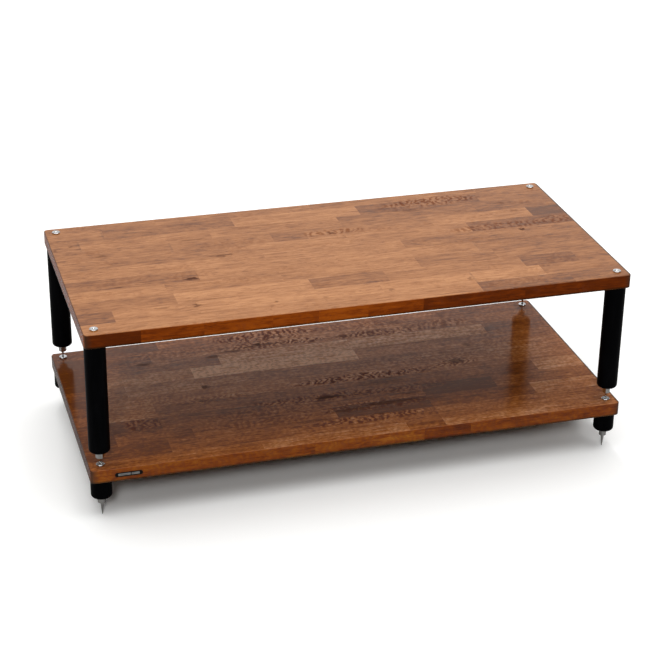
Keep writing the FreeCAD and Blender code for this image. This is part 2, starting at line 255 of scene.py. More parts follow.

# Each board's look. first_row is the width of the row at the back, and stains go from the darkest tone
# to the lightest. The colour for the upright faces multiplies the stain there: a darker stain that also
# paints their shade. boldness is how far the grain moves a stave's tone, figure_depth how dark the wavy
# figure is, and fleck how much of that figure every stave has. end_rim is how much of the painted rim
# shade the end faces keep, and front_coat how much of the lacquer the front face has.
BOARD_LOOKS = {
    "top_shelf": {
        "material": "oak_top",
        "rows": TOP_ROWS,
        "front_face": TOP_FRONT_FACE,
        "first_row": 31.6,
        "knots": TOP_KNOTS,
        "waves": TOP_WAVES,
        "stains": (
            (0.0, (0.130, 0.041, 0.010)),
            (0.25, (0.215, 0.068, 0.014)),
            (0.5, (0.345, 0.127, 0.033)),
            (0.75, (0.455, 0.185, 0.060)),
            (1.0, (0.555, 0.245, 0.090)),
        ),
        "upright_stain_and_shade": (0.74, 0.38, 0.05),
        "boldness": 0.96,
        "figure_depth": 0.60,
        "fleck": 0.0,
        "end_rim": 0.05,
        "front_coat": 0.25,
    },
    "lower_shelf": {
        "material": "oak_lower",
        "rows": LOWER_ROWS,
        "front_face": LOWER_FRONT_FACE,
        "first_row": 41.0,
        "knots": LOWER_KNOTS,
        "waves": LOWER_WAVES,
        "stains": (
            (0.0, (0.140, 0.038, 0.007)),
            (0.25, (0.250, 0.068, 0.011)),
            (0.5, (0.405, 0.130, 0.028)),
            (0.75, (0.520, 0.215, 0.080)),
            (1.0, (0.730, 0.385, 0.215)),
        ),
        "upright_stain_and_shade": (0.56, 0.37, 0.06),
        "boldness": 1.05,
        "figure_depth": 1.0,
        "fleck": 0.28,
        "end_rim": 0.40,
        "front_coat": 1.0,
    },
}


# Oak boards: the wood

# Each stave has a number from 0 to 1, unlike its neighbours': where the numbers start, their step,
# and how many steps lie between rows and between staves. The number times the shift, in mm, says
# from where in the wood the stave is cut.
NUMBER_START = 0.37
NUMBER_STEP = 0.618034
STEPS_PER_ROW = 13
STEPS_PER_STAVE = 5
NUMBER_SHIFT = (311.0, 97.0, 173.0)

# The layers of noise in the wood: how fast each changes along the grain and across it, per mm, and
# then its detail, roughness and distortion.
GRAIN = {
    "wander": (0.006, 0.02, 2.0, 0.5, 0.0),
    "ragged": (0.03, 0.25, 3.0, 0.5, 0.0),
    "fibre": (0.012, 0.55, 4.0, 0.62, 0.0),
    "fine": (0.05, 2.6, 3.0, 0.6, 0.0),
    "cloud": (0.009, 0.035, 2.0, 0.5, 0.0),
    "mottle": (0.045, 0.13, 3.0, 0.6, 0.0),
    "streak": (0.012, 0.17, 3.0, 0.6, 0.0),
    "dashes": (0.035, 0.24, 3.0, 0.65, 0.6),
    "pores": (0.22, 4.2, 1.0, 0.5, 0.0),
    "ruffle": (0.10, 0.30, 2.0, 0.5, 0.0),
    "sway": (0.020, 0.06, 3.0, 0.5, 0.0),
    "patch": (0.012, 0.05, 1.0, 0.5, 0.0),
    "broken": (0.10, 0.050, 3.0, 0.60, 1.1),
    "flow": (0.03, 0.05, 2.0, 0.5, 0.0),
    "end_grain": (0.8, 1.9, 3.0, 0.6, 0.0),
}

# The growth rings, in mm: their pitch and how ragged they are, the least depth of their heart below
# the stave and how much more it may be, how far it may lie to the side, and how far it wanders
# sideways and up. The depth's share is the stave's number times the turns, less its whole part.
RING_PITCH = 3.4
RING_RAGGEDNESS = 4.0
HEART_DEPTH = 22.0
HEART_DEPTH_MORE = 70.0
HEART_DEPTH_TURNS = 7.0
HEART_SIDE = 45.0
HEART_WANDER_SIDE = 60.0
HEART_WANDER_UP = 34.0

# The share of a ring that is early wood.
EARLY_SHARE = 0.55

# Pores: where the noise opens one, and how strong they are from late wood to early wood.
PORE_EDGE = (0.62, 0.70)
PORES_IN_RING = (0.1, 0.8, 0.25, 1.0)

# Soft ellipses: how fast their outlines bend and how far, in mm, and where the edges of knots and of
# waves start and end, as shares of the ellipse.
BEND_STRETCH = (0.05, 0.12, 0.12)
BEND_REACH = (26.0, 12.0, 0.0)
KNOT_EDGE = (0.55, 1.35)
WAVE_EDGE = (0.8, 1.3)

# The wavy figure: its pitch in mm, how far it sways and leans, how much of it is regular and how much
# broken, its crests and troughs, and the stray patches of it outside the ellipses.
WAVE_PITCH = 13.0
WAVE_SWAY = 26.0
WAVE_LEAN = 0.12
WAVE_REGULAR = 0.55
WAVE_BROKEN = 4.6
CREST = (0.05, 0.35)
TROUGH = (-0.9, 0.0, 1.0, 0.0)
STRAY_PATCH = (0.58, 0.72, 0.0, 0.35)

# What moves a stave's tone, and by how much. The edge says where in its noise a dash begins and
# where it is full.
TONE_LAYERS = (
    ("cloud", 0.50), ("mottle", 0.60), ("streak", 0.60), ("fibre", 0.45), ("fine", 0.30),
)
DASH_EDGE = (0.52, 0.68)
DASH_TONE = -0.30
EARLY_TONE = -0.12
TROUGH_TONE = 0.24

# Colours over the stain, with their shares; the rims' colour is painted shade. The underside's
# multiplies what is there, darker and cooler, and where it reaches up the sides it is painted shade.
FIGURE_STAIN = (0.140, 0.038, 0.018)
KNOT_STAIN, KNOT_SHARE = (0.080, 0.024, 0.010), 0.95
PORE_STAIN, PORE_SHARE = (0.060, 0.022, 0.009), 0.45
JOINT_STAIN, JOINT_SHARE = (0.050, 0.018, 0.008), 0.18
RUBBED_STAIN, RUBBED_SHARE = (0.46, 0.20, 0.085), 0.22
RIM_SHADE_COLOUR = (0.045, 0.022, 0.012)
UNDERSIDE_TINT_AND_SHADE = (0.34, 0.50, 0.75)

# By its normal, where a face is the front or the underside, and how far it is upright, an end or an
# arris. The arrises are rubbed in spots.
FRONT_NORMAL = -0.75
UNDERSIDE_NORMAL = -0.3
UPRIGHT_NORMAL = (0.4, 0.9)
END_NORMAL = (0.5, 0.9)
ARRIS_NORMAL = (0.80, 0.98, 1.0, 0.0)
RUBBED_SPOTS = (0.35, 0.65)

# The rims get painted shade: on the rounded corners, by their normal, and then in mm from an end, near
# the front face's corners, along the right end and along both ends. The end faces themselves lose it.
TURNED_RIM = (0.10, 0.55, 0.0, 0.85)
CORNER_RIM = (3.0, 15.0, 0.80, 0.0)
RIGHT_RIM = (2.8, 4.6, 0.90, 0.0)
BOTH_RIMS = (1.0, 2.5, 0.40, 0.0)
END_LOSES_RIM = (0.7, 1.0)

# How far the underside's colour reaches up the sides, in mm, as painted shade along their bottom edge.
UNDERSIDE_REACH = (2.0, 5.0, 1.0, 0.0)

# The relief of the wood and of the lacquer over it: how high each thing in it stands, and the
# distance and strength of each bump.
PORE_HEIGHT = -0.8
FINE_HEIGHT = 0.35
JOINT_HEIGHT = -0.5
END_GRAIN_HEIGHT = 60.0
FIGURE_HEIGHT = 3.0
WOOD_UNDER_LACQUER = 0.12
WOOD_BUMP = (0.06 * MM, 0.5)
LACQUER_BUMP = (0.05 * MM, 0.35)

# The gloss of the wood and of the lacquer, which is thinner on the figure and on knots.
WOOD_ROUGHNESS = (0.2, 0.8, 0.42, 0.55)
COAT_ON_FIGURE = 0.25
COAT_IOR = 1.30
COAT_ROUGHNESS = 0.15


def stave_stops(row, staves):
    """Ramp stops for a row: red holds the tone, green the stave's number, blue its joint."""
    stops = []
    start = 0.0
    for index, (end, tone) in enumerate(staves):
        steps = STEPS_PER_ROW * row + STEPS_PER_STAVE * index
        number = (NUMBER_START + NUMBER_STEP * steps) % 1.0
        stops.append((start / ROW_LENGTH, (tone, number, 0.0)))
        if end < ROW_LENGTH:
            stops.append(((end - JOINT_WIDTH) / ROW_LENGTH, (tone, number, 1.0)))
        start = end
    return stops


def stave_at(nodes, look, along, deep, length, front):
    """Tone and number of the stave at each point, its joints, and how far into its row the point is."""
    across = nodes.math("DIVIDE", along, length)
    stave = nodes.colours(across, stave_stops(0, look["rows"][0]), "CONSTANT")
    for row, staves in enumerate(look["rows"][1:], start=1):
        here = nodes.math("GREATER_THAN", deep, look["first_row"] + (row - 1) * ROW_PITCH)
        colour = nodes.colours(across, stave_stops(row, staves), "CONSTANT")
        stave = nodes.mix(here, stave, colour)
    face_stops = stave_stops(len(look["rows"]), look["front_face"])
    stave = nodes.mix(front, stave, nodes.colours(across, face_stops, "CONSTANT"))
    tone, number, joint = nodes.add("ShaderNodeSeparateColor", {0: stave}).outputs
    from_row = nodes.math("ADD", deep, ROW_PITCH - look["first_row"])
    in_row = nodes.math("MODULO", from_row, ROW_PITCH)
    seam = nodes.math("LESS_THAN", in_row, JOINT_WIDTH)
    seam = nodes.math("MULTIPLY", seam, nodes.math("SUBTRACT", 1.0, front))
    return tone, number, nodes.math("MAXIMUM", joint, seam), in_row


def grain_layers(nodes, wood):
    """The layers of noise in the wood."""
    layers = {}
    for name, (along, across, detail, roughness, distortion) in GRAIN.items():
        stretched = nodes.stretched(wood, along, across, across)
        layers[name] = nodes.noise(stretched, 1.0, detail, roughness, distortion)
    return layers


def early_wood(nodes, layers, number, in_row, up):
    """Where the wood is early wood, in rings about a heart somewhere below the stave."""
    share = nodes.math("FRACT", nodes.math("MULTIPLY", number, HEART_DEPTH_TURNS))
    depth = nodes.math("MULTIPLY_ADD", share, HEART_DEPTH_MORE, HEART_DEPTH)
    side = nodes.math("MULTIPLY_ADD", number, 2 * HEART_SIDE, -HEART_SIDE)
    sideways = nodes.math("MULTIPLY_ADD", layers["wander"], HEART_WANDER_SIDE, side)
    upward = nodes.math("MULTIPLY_ADD", layers["wander"], HEART_WANDER_UP, depth)
    from_middle = nodes.math("SUBTRACT", in_row, ROW_PITCH / 2)
    from_heart = nodes.vector("LENGTH", nodes.combine(
        0.0, nodes.math("ADD", from_middle, sideways), nodes.math("ADD", up, upward),
    ))
    radius = nodes.math("MULTIPLY_ADD", layers["ragged"], RING_RAGGEDNESS, from_heart)
    ring = nodes.math("FRACT", nodes.math("DIVIDE", radius, RING_PITCH))
    return nodes.ramp(ring, 0.0, EARLY_SHARE, 1.0, 0.0, smooth=True)


def zone(nodes, spot, ellipses, ruffle, edge):
    """How far each point is inside soft-edged ellipses: the strongest counts."""
    most = 0.0
    for x, depth, half_length, half_width, strength in ellipses:
        away = nodes.vector("SUBTRACT", spot, (x, depth, 0.0))
        away = nodes.stretched(away, 1 / half_length, 1 / half_width, 0.0)
        near = nodes.math("ADD", ruffle, nodes.vector("LENGTH", away))
        inside = nodes.ramp(near, *edge, strength, 0.0, smooth=True)
        most = nodes.math("MAXIMUM", most, inside)
    return most


def knots_and_figure(nodes, look, layers, wood, along, deep, in_row):
    """Where the knots are, and the crests and the troughs of the wavy figure."""
    bend = nodes.noise(nodes.stretched(wood, *BEND_STRETCH), output="Color")
    bend = nodes.vector("SUBTRACT", bend, (NOISE_MEAN, NOISE_MEAN, NOISE_MEAN))
    bend = nodes.stretched(bend, *BEND_REACH)
    spot = nodes.vector("ADD", nodes.combine(along, deep, 0.0), bend)
    ruffle = nodes.math("SUBTRACT", layers["ruffle"], NOISE_MEAN)
    knot = zone(nodes, spot, look["knots"], ruffle, KNOT_EDGE)

    figured = nodes.ramp(layers["patch"], *STRAY_PATCH)
    figured = nodes.math("MAXIMUM", figured, zone(nodes, spot, look["waves"], ruffle, WAVE_EDGE))
    figured = nodes.math("MAXIMUM", figured, look["fleck"])
    lean = nodes.math("MULTIPLY", in_row, WAVE_LEAN)
    phase = nodes.math("MULTIPLY_ADD", layers["sway"], WAVE_SWAY, lean)
    ripple = nodes.math("SINE", nodes.math("MULTIPLY_ADD", along, 2 * math.pi / WAVE_PITCH, phase))
    broken = nodes.math("MULTIPLY_ADD", layers["broken"], WAVE_BROKEN, -WAVE_BROKEN * NOISE_MEAN)
    ripple = nodes.math("MULTIPLY_ADD", ripple, WAVE_REGULAR, broken)
    crests = nodes.math("MULTIPLY", nodes.ramp(ripple, *CREST, smooth=True), figured)
    troughs = nodes.math("MULTIPLY", nodes.ramp(ripple, *TROUGH, smooth=True), figured)
    return knot, crests, troughs


def moved_tone(nodes, look, layers, tone, early, troughs):
    """The stave's tone, moved by the grain."""
    moved = 0.0
    for layer, share in TONE_LAYERS:
        from_mean = nodes.math("SUBTRACT", layers[layer], NOISE_MEAN)
        moved = nodes.math("MULTIPLY_ADD", from_mean, share, moved)
    dashes = nodes.ramp(layers["dashes"], *DASH_EDGE)
    moved = nodes.math("MULTIPLY_ADD", dashes, DASH_TONE, moved)
    moved = nodes.math("MULTIPLY_ADD", early, EARLY_TONE, moved)
    moved = nodes.math("MULTIPLY_ADD", troughs, TROUGH_TONE * look["figure_depth"], moved)
    return nodes.math("MULTIPLY_ADD", moved, look["boldness"], tone)


def painted_rim_shade(nodes, look, along, length, lengthwise, end_face, front):
    """How much painted shade each point gets on the rounded corners, near the front's corners and along
    the ends.
    """
    to_right = nodes.math("SUBTRACT", length, along)
    to_end = nodes.math("MINIMUM", along, to_right)
    turned = nodes.ramp(lengthwise, *TURNED_RIM)
    corner = nodes.math("MULTIPLY", front, nodes.ramp(to_end, *CORNER_RIM))
    arrises = nodes.math(
        "MAXIMUM", nodes.ramp(to_right, *RIGHT_RIM), nodes.ramp(to_end, *BOTH_RIMS),
    )
    dark = nodes.math("MAXIMUM", nodes.math("MAXIMUM", turned, corner), arrises)
    kept = nodes.ramp(end_face, *END_LOSES_RIM, 1.0, look["end_rim"])
    return nodes.math("MULTIPLY", dark, kept)


def oak(node, look):
    """Lacquered oak for a board of glued staves, whose rows start at the board's back edge."""
    low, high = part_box(node)
    material, nodes, place, normal = new_material(look["material"])
    x, y, z = nodes.separate(place)
    nx, ny, nz = nodes.separate(normal)
    length = (high.x - low.x) / MM
    along = nodes.math("MULTIPLY_ADD", x, 1 / MM, -low.x / MM)
    deep = nodes.math("MULTIPLY_ADD", y, -1 / MM, high.y / MM)
    up = nodes.math("MULTIPLY_ADD", z, 1 / MM, -low.z / MM)
    front = nodes.math("LESS_THAN", ny, FRONT_NORMAL)
    lengthwise = nodes.math("ABSOLUTE", nx)
    end_face = nodes.ramp(lengthwise, *END_NORMAL)
    sideways = nodes.math("MAXIMUM", lengthwise, nodes.math("ABSOLUTE", ny))
    upright = nodes.ramp(sideways, *UPRIGHT_NORMAL)

    # each stave is cut from its own place in the wood
    tone, number, joint, in_row = stave_at(nodes, look, along, deep, length, front)
    shift = nodes.vector("SCALE", NUMBER_SHIFT, scale=number)
    wood = nodes.vector("ADD", nodes.combine(along, deep, up), shift)
    layers = grain_layers(nodes, wood)
    early = early_wood(nodes, layers, number, in_row, up)
    pores = nodes.math(
        "MULTIPLY", nodes.ramp(layers["pores"], *PORE_EDGE), nodes.ramp(early, *PORES_IN_RING),
    )
    knot, crests, troughs = knots_and_figure(nodes, look, layers, wood, along, deep, in_row)

    # the stain and what lies dark in it
    stain_at = moved_tone(nodes, look, layers, tone, early, troughs)
    colour = nodes.colours(stain_at, look["stains"])
    # the upright faces darker: a darker stain, with painted shade
    colour = nodes.mix(upright, colour, look["upright_stain_and_shade"], "MULTIPLY")
    for mark, share, stain in (
        (crests, look["figure_depth"], FIGURE_STAIN),
        (knot, KNOT_SHARE, KNOT_STAIN),
        (pores, PORE_SHARE, PORE_STAIN),
        (joint, JOINT_SHARE, JOINT_STAIN),
    ):
        colour = nodes.mix(nodes.math("MULTIPLY", mark, share), colour, stain)

    # rubbed arrises, painted shade on the rims, and the underside's darker colour, which is painted
    # shade where it reaches up the sides
    most = nodes.math("MAXIMUM", sideways, nodes.math("ABSOLUTE", nz))
    rubbed = nodes.math(
        "MULTIPLY", nodes.ramp(most, *ARRIS_NORMAL), nodes.ramp(layers["cloud"], *RUBBED_SPOTS),
    )
    colour = nodes.mix(nodes.math("MULTIPLY", rubbed, RUBBED_SHARE), colour, RUBBED_STAIN)
    rims = painted_rim_shade(nodes, look, along, length, lengthwise, end_face, front)
    # painted shade on the rims
    colour = nodes.mix(rims, colour, RIM_SHADE_COLOUR)
    # the underside darker and cooler, with painted shade along the bottom of the sides
    under = nodes.math("MULTIPLY", nodes.ramp(up, *UNDERSIDE_REACH), upright)
    under = nodes.math("MAXIMUM", under, nodes.math("LESS_THAN", nz, UNDERSIDE_NORMAL))
    colour = nodes.mix(under, colour, UNDERSIDE_TINT_AND_SHADE, "MULTIPLY")

    # the relief of the wood and of the lacquer, and how much lacquer there is
    fine = layers["fine"]
    relief = nodes.math("MULTIPLY", fine, FINE_HEIGHT)
    relief = nodes.math("MULTIPLY_ADD", pores, PORE_HEIGHT, relief)
    relief = nodes.math("MULTIPLY_ADD", joint, JOINT_HEIGHT, relief)
    marks = nodes.math("MAXIMUM", crests, knot)
    end_grain = nodes.math("MULTIPLY", end_face, layers["end_grain"])
    lacquer = nodes.math("MULTIPLY_ADD", end_grain, END_GRAIN_HEIGHT, layers["flow"])
    lacquer = nodes.math("MULTIPLY_ADD", marks, FIGURE_HEIGHT * look["figure_depth"], lacquer)
    lacquer = nodes.math("MULTIPLY_ADD", relief, WOOD_UNDER_LACQUER, lacquer)
    coat = nodes.ramp(marks, 0.0, 1.0, 1.0, COAT_ON_FIGURE)
    finish(
        nodes,
        Base_Color=colour,
        Roughness=nodes.ramp(fine, *WOOD_ROUGHNESS),
        Specular_IOR_Level=0.0,
        Normal=nodes.bump(relief, *WOOD_BUMP),
        Coat_Weight=nodes.math(
            "MULTIPLY", coat, nodes.ramp(front, 0.0, 1.0, 1.0, look["front_coat"]),
        ),
        Coat_IOR=COAT_IOR,
        Coat_Roughness=COAT_ROUGHNESS,
        Coat_Normal=nodes.bump(lacquer, *LACQUER_BUMP),
    )
    return material


# Metal

# Satin black: its noises and how they are stretched, its two tones and where it goes from one to the
# other, its gloss, its relief, and the specks of dust on it.
BLACK_PEEL = {"scale": 900.0, "detail": 3.0}
BLACK_HANDLING = {"scale": 60.0, "detail": 4.0, "roughness": 0.6}
HANDLING_STRETCH = (1.0, 1.0, 0.25)
BLACK_TONES = (0.0008, 0.0008, 0.0011), (0.0020, 0.0020, 0.0027)
BLACK_HANDLED = (0.45, 0.75)
BLACK_ROUGHNESS = (0.3, 0.7, 0.30, 0.42)
BLACK_SHINE = 0.02
BLACK_BUMP = (0.04 * MM, 0.25)
DUST = {"scale": 4200.0, "detail": 1.0}
DUST_TONE = (0.035, 0.035, 0.036)
DUST_SPECKS = (0.74, 0.80, 0.0, 0.35)

# The turned metals: colour, colour where it is dull, roughness, and how fine the turning marks are
# along the axis.
TURNED_METALS = {
    "chrome": ((0.62, 0.62, 0.62), (0.42, 0.42, 0.42), 0.10, 9000.0),
    "nickel": ((0.50, 0.49, 0.47), (0.34, 0.33, 0.31), 0.12, 7000.0),
    "zinc": ((0.60, 0.61, 0.62), (0.42, 0.42, 0.41), 0.24, 5200.0),
}
MARKS = {"detail": 3.0, "roughness": 0.7}
MARKS_ACROSS = 40.0
SPOTS = {"scale": 160.0, "detail": 4.0, "roughness": 0.6}
DULL_SPOTS = (0.40, 0.75)
ROUGH_SPOTS = (0.35, 0.75)
ROUGH_SPOT_GAIN = 2.2
SCRATCHES = {"detail": 2.0, "distortion": 1.2}
SCRATCH_STRETCH = (900.0, 900.0, 120.0)
SCRATCH_EDGE = (0.66, 0.72)
SCRATCH_ROUGHNESS = 0.10
TURNED_BUMP = (0.02 * MM, 0.30)


def black_coat(name, seed):
    """Satin black coating, with a fine texture, specks of dust and a few rubbed spots."""
    material, nodes, place, _ = new_material(name)
    place = nodes.vector("ADD", place, (seed, seed, seed))
    peel = nodes.noise(place, **BLACK_PEEL)
    dust = nodes.noise(place, **DUST)
    handling = nodes.noise(nodes.stretched(place, *HANDLING_STRETCH), **BLACK_HANDLING)
    colour = nodes.mix(nodes.ramp(handling, *BLACK_HANDLED), *BLACK_TONES)
    colour = nodes.mix(nodes.ramp(dust, *DUST_SPECKS), colour, DUST_TONE)
    finish(
        nodes,
        Base_Color=colour,
        Roughness=nodes.ramp(handling, *BLACK_ROUGHNESS),
        Specular_IOR_Level=BLACK_SHINE,
        Normal=nodes.bump(peel, *BLACK_BUMP),
    )
    return material


def turned_metal(name, colour, dull, roughness, marks_along):
    """Plated steel with the fine marks of turning round its vertical axis."""
    material, nodes, place, _ = new_material(name)
    turned = nodes.stretched(place, MARKS_ACROSS, MARKS_ACROSS, marks_along)
    marks = nodes.noise(turned, **MARKS)
    spots = nodes.noise(place, **SPOTS)
    scratches = nodes.noise(nodes.stretched(place, *SCRATCH_STRETCH), **SCRATCHES)
    scratched = nodes.math("MULTIPLY", nodes.ramp(scratches, *SCRATCH_EDGE), SCRATCH_ROUGHNESS)
    rough = nodes.ramp(spots, *ROUGH_SPOTS, roughness, roughness * ROUGH_SPOT_GAIN)
    finish(
        nodes,
        Base_Color=nodes.mix(nodes.ramp(spots, *DULL_SPOTS), colour, dull),
        Metallic=1.0,
        Roughness=nodes.math("ADD", rough, scratched),
        Normal=nodes.bump(marks, *TURNED_BUMP),
    )
    return material


# The blank plate on the lower board's front face

# The black enamel: its noises, its two tones and where it goes from one to the other, and its gloss
# and relief.
ENAMEL_PEEL = {"scale": 2600.0, "detail": 2.0}
ENAMEL_RUBBING = {"scale": 420.0, "detail": 4.0, "roughness": 0.6}
RUBBING_STRETCH = (1.0, 1.0, 3.0)
ENAMEL_TONES = (0.0030, 0.0026, 0.0026), (0.016, 0.014, 0.013)
ENAMEL_RUBBED = (0.55, 0.75)
ENAMEL_ROUGHNESS = (0.35, 0.70, 0.28, 0.46)
ENAMEL_SHINE = 0.10
ENAMEL_BUMP = (0.03 * MM, 0.3)

# The silvery inlays: their noises and how they are stretched, their two tones and where they go from
# one to the other, and their gloss and relief.
BRUSHING = {"detail": 3.0}
BRUSHING_STRETCH = (900.0, 900.0, 5200.0)
TARNISH = {"detail": 2.0}
TARNISH_STRETCH = (90.0, 1.0, 240.0)
SILVER_TONES = (0.16, 0.155, 0.15), (0.42, 0.42, 0.41)
SILVER_TARNISHED = (0.30, 0.70)
SILVER_METALLIC = 0.85
SILVER_ROUGHNESS = (0.3, 0.7, 0.24, 0.40)
SILVER_BUMP = (0.02 * MM, 0.4)

# The rim beside and above the recess, the recess's depth, the outer corners' radius, how much the
# rim's arrises are taken off, and how many steps a corner has.
PLATE_RIM_BESIDE = 4.8 * MM
PLATE_RIM_ABOVE = 1.6 * MM
PLATE_RECESS = 0.42 * MM
PLATE_CORNER = 3.4 * MM
PLATE_ARRIS = 0.15 * MM
PLATE_CORNER_STEPS = 8

# Where each inlay starts and ends from the plate's middle, the gap above and below it, its corners'
# radius and steps, and how far it draws in and how far it rises, step by step.
PLATE_INLAYS = ((-19.0 * MM, 3.2 * MM), (4.6 * MM, 19.0 * MM))
INLAY_GAP = 0.35 * MM
INLAY_CORNER = 1.1 * MM
INLAY_CORNER_STEPS = 5
INLAY_CROWN = (
    (0.0, 0.0), (0.04 * MM, 0.22 * MM), (0.16 * MM, 0.31 * MM), (0.5 * MM, 0.35 * MM),
)

# Faces that meet at more than this stay sharp.
SHARP_ANGLE = math.radians(35)


def plate_enamel():
    """Black enamel with a soft sheen, rubbed a little."""
    material, nodes, place, _ = new_material("plate_enamel")
    peel = nodes.noise(place, **ENAMEL_PEEL)
    rubbed = nodes.noise(nodes.stretched(place, *RUBBING_STRETCH), **ENAMEL_RUBBING)
    finish(
        nodes,
        Base_Color=nodes.mix(nodes.ramp(rubbed, *ENAMEL_RUBBED), *ENAMEL_TONES),
        Roughness=nodes.ramp(rubbed, *ENAMEL_ROUGHNESS),
        Specular_IOR_Level=ENAMEL_SHINE,
        Normal=nodes.bump(peel, *ENAMEL_BUMP),
    )
    return material


def plate_silver():
    """Brushed silvery metal with uneven tarnish."""
    material, nodes, place, _ = new_material("plate_silver")
    brushed = nodes.noise(nodes.stretched(place, *BRUSHING_STRETCH), **BRUSHING)
    tarnish = nodes.noise(nodes.stretched(place, *TARNISH_STRETCH), **TARNISH)
    finish(
        nodes,
        Base_Color=nodes.mix(nodes.ramp(tarnish, *SILVER_TARNISHED), *SILVER_TONES),
        Metallic=SILVER_METALLIC,
        Roughness=nodes.ramp(brushed, *SILVER_ROUGHNESS),
        Normal=nodes.bump(brushed, *SILVER_BUMP),
    )
    return material


def rounded_outline(half_x, half_z, radius, steps=PLATE_CORNER_STEPS):
    """Points round a rectangle with rounded corners, counter-clockwise as seen from the front."""
    points = []
    for sx, sz, first in ((1, -1, -90), (1, 1, 0), (-1, 1, 90), (-1, -1, 180)):
        for i in range(steps + 1):
            angle = math.radians(first + 90 * i / steps)
            x = sx * (half_x - radius) + radius * math.cos(angle)
            z = sz * (half_z - radius) + radius * math.sin(angle)
            points.append((x, z))
    return points


def stacked(mesh, middle, loops):
    """Adds a solid to the mesh from outlines of the same length, each at its own distance forward."""
    rings = []
    for points, forward in loops:
        rings.append([
            mesh.verts.new((middle.x + x, middle.y - forward, middle.z + z)) for x, z in points
        ])
    for one, two in zip(rings, rings[1:]):
        for i in range(len(one)):
            j = (i + 1) % len(one)
            mesh.faces.new((one[i], one[j], two[j], two[i]))
    mesh.faces.new(rings[0][::-1])
    mesh.faces.new(rings[-1])


def plate_piece(name, mesh, material):
    """A piece of the front plate, as an object that moves with the lower level."""
    data = bpy.data.meshes.new(name)
    bmesh.ops.recalc_face_normals(mesh, faces=mesh.faces)
    mesh.to_mesh(data)
    mesh.free()
    data.shade_smooth()
    data.set_sharp_from_angle(angle=SHARP_ANGLE)
    data.materials.append(material)
    piece = placed(name, data)
    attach(piece, "lower_level")
    return piece


def front_plate():
    """A black plate with rounded corners, and two blank silvery inlays in its recess."""
    low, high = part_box("front_plate")
    half_x, half_z = (high.x - low.x) / 2, (high.z - low.z) / 2
    thick = high.y - low.y
    middle = Vector(((low.x + high.x) / 2, high.y, (low.z + high.z) / 2))
    floor_x, floor_z = half_x - PLATE_RIM_BESIDE, half_z - PLATE_RIM_ABOVE
    recess = thick - PLATE_RECESS
    soft = PLATE_ARRIS
    outer = rounded_outline(half_x, half_z, PLATE_CORNER)
    outer_soft = rounded_outline(half_x - soft, half_z - soft, PLATE_CORNER - soft)
    inner = rounded_outline(floor_x, floor_z, PLATE_CORNER / 2)
    inner_low = rounded_outline(floor_x - soft, floor_z - soft, PLATE_CORNER / 2 - soft)
    frame_mesh = bmesh.new()
    stacked(frame_mesh, middle, (
        (outer, 0.0), (outer, thick - soft), (outer_soft, thick), (inner, thick),
        (inner_low, recess),
    ))
    frame_piece = plate_piece("plate_frame", frame_mesh, plate_enamel())
    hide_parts("front_plate")

    inlays = bmesh.new()
    half_tall = floor_z - INLAY_GAP
    for start, end in PLATE_INLAYS:
        half_wide = (end - start) / 2
        loops = []
        for shrink, rise in INLAY_CROWN:
            corner = INLAY_CORNER - shrink / 2
            outline = rounded_outline(
                half_wide - shrink, half_tall - shrink, corner, INLAY_CORNER_STEPS,
            )
            loops.append((outline, recess + rise))
        stacked(inlays, middle + Vector(((start + end) / 2, 0.0, 0.0)), loops)
    plate_piece("plate_inlays", inlays, plate_silver())


# Which material each node gets

CORNERS = ("front_left", "front_right", "rear_left", "rear_right")
CORNER_FINISHES = {
    "foot_tube": "tube_black",
    "column_tube": "tube_black",
    "foot_cap": "cap_black",
    "column_cap": "cap_black",
    "foot_plug": "zinc",
    "column_plug": "zinc",
    "foot_nut": "nickel",
    "column_nut": "nickel",
    "foot_spike": "nickel",
    "column_spike": "nickel",
    "lower_cup": "chrome",
    "top_cup": "chrome",
}

# How far off in the same noise each of the two blacks lies.
BLACK_SEEDS = {"tube_black": 0.0, "cap_black": 1.7}


def dress(node, material):
    """Puts the material on a CAD node."""
    for slot in frame["nodes"][node].material_slots:
        slot.material = material


def dress_all():
    """Puts materials on all CAD nodes, and makes the front plate."""
    for board, look in BOARD_LOOKS.items():
        dress(board, oak(board, look))
    front_plate()
    finishes = {name: black_coat(name, seed) for name, seed in BLACK_SEEDS.items()}
    finishes |= {name: turned_metal(name, *facts) for name, facts in TURNED_METALS.items()}
    for corner in CORNERS:
        for part, name in CORNER_FINISHES.items():
            dress(f"{part}_{corner}", finishes[name])


# Floor, studio, lamps and camera

# The floor, and its colour as the camera sees it, as it throws light back, and in reflections.
FLOOR_HALF_WIDTH = 20.0
FLOOR_SEEN = (1.11, 1.11, 1.0989)
FLOOR_ALBEDO = (0.80, 0.80, 0.80)
FLOOR_REFLECTED = (0.40, 0.40, 0.40)

# The studio as reflections show it: degrees above the horizon, and how white it is there, at the
# backdrop behind the shelf and in the rest of the room. Then the way to the backdrop's middle, where
# its sides fade out, as cosines of the angle from there, and how far its heights tilt sideways.
BACKDROP = (
    (0, 0.85), (20, 0.90), (24.5, 1.0), (25.5, 1.35), (26.9, 1.65), (27.5, 0.08), (40, 0.06),
    (60, 0.25), (90, 0.40),
)
ROOM = ((0, 0.40), (22, 0.44), (30, 0.14), (45, 0.12), (60, 0.25), (90, 0.40))
BACKDROP_WAY = (0.284, 0.959)
BACKDROP_SIDES = (0.35, 0.60)
BACKDROP_TILT = 0.12

# The sky's light on the shelf: where it starts, as a sine, and its level, which fades to the front.
SKY_START = (0.44, 0.48)
SKY_LEVEL = 0.60
SKY_FADE = (-0.3, 0.3)

# Keeps the world from dividing by zero straight up and straight down.
LEAST_SQUARE = 0.0001

